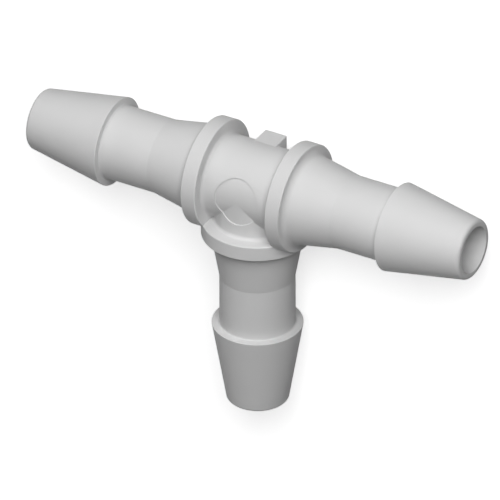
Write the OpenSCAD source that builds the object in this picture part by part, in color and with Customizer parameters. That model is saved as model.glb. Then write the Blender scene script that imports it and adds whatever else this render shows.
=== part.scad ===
// Hose barb tee: one moulded plastic piece that joins three flexible tubes.
// Three equal arms meet at the centre. Each has a stop collar, a flared neck and one long barb.
// The run lies along X, the branch points to -Y, and the marked front of the hub faces +Z.
// All sizes are in millimetres, and the axes of the run and the branch cross at the origin.

/* [Bore] */
// Diameter of the flow passage, the same in all three arms
bore_d = 4.2; // [3:0.1:4.6]

/* [Hub] */
// Outside diameter of the hub between the collars, and of the boss that carries the branch
hub_d = 7.25; // [6.6:0.05:8]

/* [Stop collars] */
// From the centre of the tee to the inner face of each collar
collar_offset = 3.4; // [3.1:0.05:6]
// Thickness of each collar along its arm
collar_w = 1.4; // [0.8:0.05:2.5]
// Outside diameter of each collar
collar_d = 9.6; // [9.3:0.05:12]
// Fillet where a collar's inner face meets the hub
hub_fillet = 0.3; // [0.1:0.05:0.6]
// Rounding of a collar's two outer edges
collar_edge = 0.1; // [0.04:0.02:0.3]

/* [Flared necks] */
// Diameter of the flare where it meets the collar
flare_d = 8; // [7:0.05:8.3]
// Length of the flare, from the collar to the plain neck
flare_length = 4.15; // [2:0.05:7]
// Diameter of the plain neck that the tube seals on
neck_d = 6.5; // [5.8:0.05:7.2]
// Length of the plain neck, from the flare to the barb's shoulder
neck_length = 4.75; // [2:0.05:9]
// Fillet where the flare meets the collar's outer face
flare_fillet = 0.55; // [0.1:0.05:0.6]

/* [Barbs] */
// Diameter over the sharp crest of the barb
barb_d = 7.85; // [7.4:0.05:9]
// Length of the barb's cone, from its shoulder to the open end
barb_length = 7.55; // [4:0.05:12]
// Diameter of the cone at the open end, before its edge is rounded
tip_d = 5.3; // [5.1:0.05:6.2]
// Fillet between the plain neck and the barb's shoulder
root_fillet = 0.15; // [0.05:0.05:0.3]
// Rounding of the crest
crest_edge = 0.04; // [0.02:0.02:0.12]
// Rounding of the outer edge at the open end
tip_edge = 0.35; // [0.1:0.05:0.5]

/* [Pad on the hub] */
// Width of the square pad along the run
pad_w = 2.1; // [1:0.1:5]
// From the run's axis to the pad's top face, on the side away from the branch
pad_top = 3.4; // [2.8:0.05:4.2]
// From the run's axis to the pad's rear face
pad_rear = 3.3; // [2.8:0.05:4]
// Rounding of the pad's edges
pad_edge = 0.1; // [0.04:0.02:0.2]

/* [Round mark on the front] */
// Diameter of the shallow round recess on the front of the hub
mark_d = 4.25; // [2:0.05:6]
// Depth of the recess below the surface that it is in
mark_depth = 0.1; // [0.04:0.02:0.3]

/* [Hidden] */
$fn = 96;
flare_start = collar_offset + collar_w;
neck_start = flare_start + flare_length;
shoulder = neck_start + neck_length;
arm_length = shoulder + barb_length;

function unit(v) = v / norm(v);

// Half of the angle at corner v between its neighbours a and b
function half_angle(a, v, b) = acos(unit(a - v) * unit(b - v)) / 2;

// Distance from corner v to where a rounding of radius r touches either side
function reach(a, v, b, r) = r / tan(half_angle(a, v, b));

// Centre of the rounding of radius r in the corner at v
function round_centre(a, v, b, r) =
    v + unit(unit(a - v) + unit(b - v)) * r / sin(half_angle(a, v, b));

// Above zero where an outline that runs anticlockwise stands out at corner v
function bend(a, v, b) = (v[0] - a[0]) * (b[1] - v[1]) - (v[1] - a[1]) * (b[0] - v[0]);

// One full circle for the rounding at each corner that stands out (side = 1) or goes in (side = -1)
module corner_circles(corners, side) {
    n = len(corners);
    for (i = [0:n - 1]) {
        a = [corners[(i + n - 1) % n][0], corners[(i + n - 1) % n][1]];
        v = [corners[i][0], corners[i][1]];
        b = [corners[(i + 1) % n][0], corners[(i + 1) % n][1]];
        r = corners[i][2];
        if (r > 0 && side * bend(a, v, b) > 0)
            translate(round_centre(a, v, b, r)) circle(r = r);
    }
}

// Closed outline from corners [x, y, rounding radius], anticlockwise, with true arcs at its corners.
// Each rounded corner is cut off between its two tangent points.
// A circle then fills it out where the corner stands out, or hollows it where the corner goes in.
module rounded_outline(corners) {
    n = len(corners);
    difference() {
        union() {
            polygon([
                for (i = [0:n - 1])
                    let (
                        a = [corners[(i + n - 1) % n][0], corners[(i + n - 1) % n][1]],
                        v = [corners[i][0], corners[i][1]],
                        b = [corners[(i + 1) % n][0], corners[(i + 1) % n][1]],
                        t = reach(a, v, b, corners[i][2])
                    )
                    each corners[i][2] == 0
                        ? [v]
                        : [v + unit(a - v) * t, v + unit(b - v) * t]
            ]);
            corner_circles(corners, 1);
        }
        corner_circles(corners, -1);
    }
}

// Half section of one arm, with the radius along X and the arm's axis along Y
module arm_section() {
    rounded_outline([
        [0, 0, 0],
        [hub_d / 2, 0, 0],
        [hub_d / 2, collar_offset, hub_fillet],
        [collar_d / 2, collar_offset, collar_edge],
        [collar_d / 2, flare_start, collar_edge],
        [flare_d / 2, flare_start, flare_fillet],
        [neck_d / 2, neck_start, 0],
        [neck_d / 2, shoulder, root_fillet],
        [barb_d / 2, shoulder, crest_edge],
        [tip_d / 2, arm_length, tip_edge],
        [0, arm_length, 0],
    ]);
}

// One solid arm that rises along +Z from the centre of the tee
module arm() {
    rotate_extrude() arm_section();
}

// The two arms of the run and the arm of the branch, joined at the centre
module three_arms() {
    for (turn = [0, 180, -90])
        rotate([0, 90, turn]) arm();
}

// Flow passages: one bore straight through the run, and one from the branch's open end into it
module flow_passages() {
    rotate([0, 90, 0]) cylinder(d = bore_d, h = 2 * arm_length + 2, center = true);
    rotate([90, 0, 0]) cylinder(d = bore_d, h = arm_length + 1);
}

// Flat plate of thickness h, w wide about Y and up to y = top, with rounded corners at its far end
module pad_plate(w, top, h) {
    linear_extrude(h) rounded_outline([
        [w / 2, 0, 0],
        [w / 2, top, pad_edge],
        [-w / 2, top, pad_edge],
        [-w / 2, 0, 0],
    ]);
}

// Square moulding pad that fills out the upper rear of the hub, midway between the run collars.
// It is what three plates have in common: one seen from above, one from the side and one from the front.
module hub_pad() {
    intersection() {
        rotate([-90, 0, 0]) pad_plate(pad_w, pad_rear, pad_top);
        translate([0, 0, -pad_rear]) pad_plate(pad_w, pad_top, pad_rear);
        rotate([90, 0, 90]) linear_extrude(pad_w, center = true) rounded_outline([
            [0, -pad_rear, 0],
            [pad_top, -pad_rear, pad_edge],
            [pad_top, 0, 0],
            [0, 0, 0],
        ]);
    }
}

// What the round mark takes away: a disc's width of skin, as deep as the mark, off hub and boss alike
module mark_skin() {
    difference() {
        cylinder(d = mark_d, h = hub_d);
        rotate([0, 90, 0]) cylinder(d = hub_d - 2 * mark_depth, h = 2 * hub_d, center = true);
        rotate([90, 0, 0]) cylinder(d = hub_d - 2 * mark_depth, h = 2 * hub_d);
    }
}

module tee_body() {
    color("#e6e6e4") difference() {
        union() {
            three_arms();
            hub_pad();
        }
        flow_passages();
        mark_skin();
    }
}

tee_body();
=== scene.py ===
"""Looks of a hose barb tee: natural white moulded plastic on a pale floor, under soft studio light."""

import math

import bpy
from mathutils import Matrix, Vector


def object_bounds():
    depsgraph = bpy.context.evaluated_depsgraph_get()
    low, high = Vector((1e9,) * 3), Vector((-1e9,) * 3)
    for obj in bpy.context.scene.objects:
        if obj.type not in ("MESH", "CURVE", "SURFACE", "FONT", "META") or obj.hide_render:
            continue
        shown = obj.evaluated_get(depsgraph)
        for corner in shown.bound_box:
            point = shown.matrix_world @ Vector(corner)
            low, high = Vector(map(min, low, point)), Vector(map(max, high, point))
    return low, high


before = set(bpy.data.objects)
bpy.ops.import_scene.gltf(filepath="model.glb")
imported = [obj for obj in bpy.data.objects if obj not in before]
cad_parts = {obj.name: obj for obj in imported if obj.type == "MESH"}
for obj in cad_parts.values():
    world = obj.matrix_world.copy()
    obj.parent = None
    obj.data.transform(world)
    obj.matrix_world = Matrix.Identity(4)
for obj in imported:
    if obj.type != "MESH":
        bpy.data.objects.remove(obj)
CAD_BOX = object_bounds()

# All lengths are in metres, and small ones are written in millimetres
MM = 0.001

# The upright fitting's own axes as directions in the frame, where it lies with its branch along -Y
UPRIGHT_X = Vector((1, 0, 0))
UPRIGHT_Y = Vector((0, 0, -1))
UPRIGHT_Z = Vector((0, 1, 0))

# Where the camera stands round the upright fitting and how far it is rolled, in degrees
VIEW_AZIMUTH = 30.04
VIEW_ELEVATION = 32.2
VIEW_ROLL = 0.19
# Width of the picture at the tee, and how far the tee's centre is right of and above the picture's centre
PICTURE_SIDE = 42.477 * MM
CENTRE_RIGHT = 0.607 * MM
CENTRE_UP = 5.6 * MM
# How far the camera is from the tee, and the nearest and furthest that it sees
CAMERA_DISTANCE = 0.3
CLIP_START = 0.001
CLIP_END = 10.0

# Round soft lamps: how far they are from the tee, and how wide
LAMP_DISTANCE = 0.35
LAMP_SIZE = 0.24
# Azimuth and elevation of each in degrees, and its power in watts
LAMPS = {
    "key": (60, 40, 1.11),
    "rear": (110, 18, 0.4),
    "fill": (-100, 6, 0.17),
}
# Strength of the sky as it lights the tee, and as it shows
SKY_LEVEL = 0.027
SKY_SHOWN = 1.0
WHITE = (1, 1, 1, 1)

# The square floor's side, its paint as it shows, and the strength of the white light that is added to that
FLOOR_SIDE = 4.0
FLOOR_COLOUR = (0.9, 0.9, 0.9)
FLOOR_GLOW = 0.64
# The grey that throws light back from the floor to the tee
FLOOR_BOUNCE = (0.06, 0.06, 0.06)

# Natural white plastic: its two shades and its two roughnesses, and the cloudy patches that mix them
PLASTIC_DARK = (0.635, 0.635, 0.635)
PLASTIC_LIGHT = (0.665, 0.665, 0.665)
ROUGH_LOW = 0.5
ROUGH_HIGH = 0.6
CLOUD_SIZE = 3.5 * MM
CLOUD_DETAIL = 3.0
# Its fine satin grain
GRAIN_SIZE = 0.16 * MM
GRAIN_DEPTH = 0.0008 * MM
GRAIN_DETAIL = 2.0
# Its refractive index, and how strongly it shines
REFRACTION = 1.49
SHINE = 0.12
# How much light sinks in and how deep, and each colour's share of that depth
SOFTNESS = 0.2
SOFT_DEPTH = 0.5 * MM
SOFT_SHARES = (1.0, 1.0, 1.0)


def direction(azimuth, elevation):
    """Unit vector at an azimuth from X towards Y and an elevation above them, both in degrees."""
    turn, rise = math.radians(azimuth), math.radians(elevation)
    return Vector((math.cos(turn) * math.cos(rise), math.sin(turn) * math.cos(rise), math.sin(rise)))


def upright(way):
    """The direction in the frame of one that is given for the upright fitting."""
    return UPRIGHT_X * way.x + UPRIGHT_Y * way.y + UPRIGHT_Z * way.z


def camera_axes():
    """Right, up and towards-the-camera directions of the picture."""
    back = upright(direction(VIEW_AZIMUTH - 90, VIEW_ELEVATION))
    level = upright(direction(VIEW_AZIMUTH, 0))
    steep = back.cross(level)
    roll = math.radians(VIEW_ROLL)
    right = level * math.cos(roll) - steep * math.sin(roll)
    return right, back.cross(right), back


def make_camera():
    """A camera without perspective, at the photograph's viewing angle."""
    right, up, back = camera_axes()
    data = bpy.data.cameras.new("camera")
    data.type = "ORTHO"
    data.ortho_scale = PICTURE_SIDE
    data.clip_start = CLIP_START
    data.clip_end = CLIP_END
    camera = bpy.data.objects.new("camera", data)
    bpy.context.collection.objects.link(camera)
    turn = Matrix((right, up, back)).transposed().to_4x4()
    place = -right * CENTRE_RIGHT - up * CENTRE_UP + back * CAMERA_DISTANCE
    camera.matrix_world = Matrix.Translation(place) @ turn
    bpy.context.scene.camera = camera


def make_lamp(name, azimuth, elevation, power):
    """A round soft lamp that looks at the tee."""
    towards = direction(azimuth, elevation)
    data = bpy.data.lights.new(name, "AREA")
    data.shape = "DISK"
    data.size = LAMP_SIZE
    data.energy = power
    lamp = bpy.data.objects.new(name, data)
    lamp.location = towards * LAMP_DISTANCE
    lamp.rotation_mode = "QUATERNION"
    lamp.rotation_quaternion = towards.to_track_quat("Z", "Y")
    bpy.context.collection.objects.link(lamp)


def node(tree, kind, x, y, **inputs):
    """A new shader node at x, y, with the named inputs set or linked."""
    made = tree.nodes.new(kind)
    made.location = (x, y)
    for name, value in inputs.items():
        socket = made.inputs[name.replace("_", " ")]
        if isinstance(value, bpy.types.NodeSocket):
            tree.links.new(value, socket)
        else:
            socket.default_value = value
    return made


def seen_by_eye(tree):
    """1 for what the camera sees, straight or by way of something shiny or clear, and 0 for stray light."""
    path = node(tree, "ShaderNodeLightPath", -900, 0)
    seen = path.outputs["Is Camera Ray"]
    for place, ray in enumerate(("Is Glossy Ray", "Is Transmission Ray")):
        either = node(tree, "ShaderNodeMath", -700 + 160 * place, 0)
        either.operation = "MAXIMUM"
        tree.links.new(seen, either.inputs[0])
        tree.links.new(path.outputs[ray], either.inputs[1])
        seen = either.outputs[0]
    return seen


def make_world():
    """A dim even sky that shows as white."""
    world = bpy.data.worlds.new("studio")
    world.use_nodes = True
    tree = world.node_tree
    tree.nodes.clear()
    level = node(
        tree, "ShaderNodeMapRange", -350, 0,
        Value=seen_by_eye(tree), To_Min=SKY_LEVEL, To_Max=SKY_SHOWN,
    )
    sky = node(tree, "ShaderNodeBackground", -150, 0, Color=WHITE, Strength=level.outputs["Result"])
    out = node(tree, "ShaderNodeOutputWorld", 50, 0)
    tree.links.new(sky.outputs["Background"], out.inputs["Surface"])
    bpy.context.scene.world = world


def floor_paint():
    """Plain paint that shows as white with the tee's shadow on it, and throws little light back."""
    material = bpy.data.materials.new("floor_paint")
    material.use_nodes = True
    tree = material.node_tree
    tree.nodes.clear()
    bounce = node(tree, "ShaderNodeBsdfDiffuse", -350, -150, Color=(*FLOOR_BOUNCE, 1))
    paint = node(tree, "ShaderNodeBsdfDiffuse", -550, 150, Color=(*FLOOR_COLOUR, 1))
    glow = node(tree, "ShaderNodeEmission", -550, 300, Strength=FLOOR_GLOW)
    shown = node(tree, "ShaderNodeAddShader", -350, 150)
    tree.links.new(paint.outputs[0], shown.inputs[0])
    tree.links.new(glow.outputs[0], shown.inputs[1])
    either = node(tree, "ShaderNodeMixShader", -150, 0, Fac=seen_by_eye(tree))
    tree.links.new(bounce.outputs[0], either.inputs[1])
    tree.links.new(shown.outputs[0], either.inputs[2])
    out = node(tree, "ShaderNodeOutputMaterial", 50, 0)
    tree.links.new(either.outputs[0], out.inputs["Surface"])
    return material


def make_floor():
    """A plain square floor at the tee's lowest point."""
    half, z = FLOOR_SIDE / 2, CAD_BOX[0].z
    corners = [(-half, -half, z), (half, -half, z), (half, half, z), (-half, half, z)]
    mesh = bpy.data.meshes.new("floor")
    mesh.from_pydata(corners, [], [(0, 1, 2, 3)])
    mesh.materials.append(floor_paint())
    floor = bpy.data.objects.new("floor", mesh)
    bpy.context.collection.objects.link(floor)


def noise(tree, y, place, size, detail):
    """Soft random values from 0 to 1, in patches of about the given size."""
    made = node(tree, "ShaderNodeTexNoise", -850, y, Vector=place, Scale=1 / size, Detail=detail)
    return made.outputs["Fac"]


def plastic():
    """Natural white plastic: faintly cloudy, a little translucent, with a fine satin mould finish."""
    material = bpy.data.materials.new("moulded_plastic_finish")
    material.use_nodes = True
    tree = material.node_tree
    shader = tree.nodes["Principled BSDF"]
    place = node(tree, "ShaderNodeTexCoord", -1100, 0).outputs["Object"]
    cloud = noise(tree, 250, place, CLOUD_SIZE, CLOUD_DETAIL)
    grain = noise(tree, -250, place, GRAIN_SIZE, GRAIN_DETAIL)
    colour = node(tree, "ShaderNodeMix", -550, 250, Factor=cloud)
    colour.data_type = "RGBA"
    colour.inputs["A"].default_value = (*PLASTIC_DARK, 1)
    colour.inputs["B"].default_value = (*PLASTIC_LIGHT, 1)
    tree.links.new(colour.outputs["Result"], shader.inputs["Base Color"])
    rough = node(tree, "ShaderNodeMapRange", -550, 0, Value=cloud, To_Min=ROUGH_LOW, To_Max=ROUGH_HIGH)
    tree.links.new(rough.outputs["Result"], shader.inputs["Roughness"])
    bump = node(tree, "ShaderNodeBump", -550, -250, Height=grain, Distance=GRAIN_DEPTH)
    tree.links.new(bump.outputs["Normal"], shader.inputs["Normal"])
    shader.inputs["IOR"].default_value = REFRACTION
    shader.inputs["Specular IOR Level"].default_value = SHINE
    shader.inputs["Subsurface Weight"].default_value = SOFTNESS
    shader.inputs["Subsurface Radius"].default_value = SOFT_SHARES
    shader.inputs["Subsurface Scale"].default_value = SOFT_DEPTH
    return material


def finish_tee():
    """Gives the fitting its plastic."""
    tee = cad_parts["tee_body"]
    tee.data.materials.clear()
    tee.data.materials.append(plastic())


def main():
    make_camera()
    make_world()
    make_floor()
    for name, (azimuth, elevation, power) in LAMPS.items():
        make_lamp(name, azimuth, elevation, power)
    finish_tee()


main()
bpy.context.scene.view_settings.view_transform = "Standard"
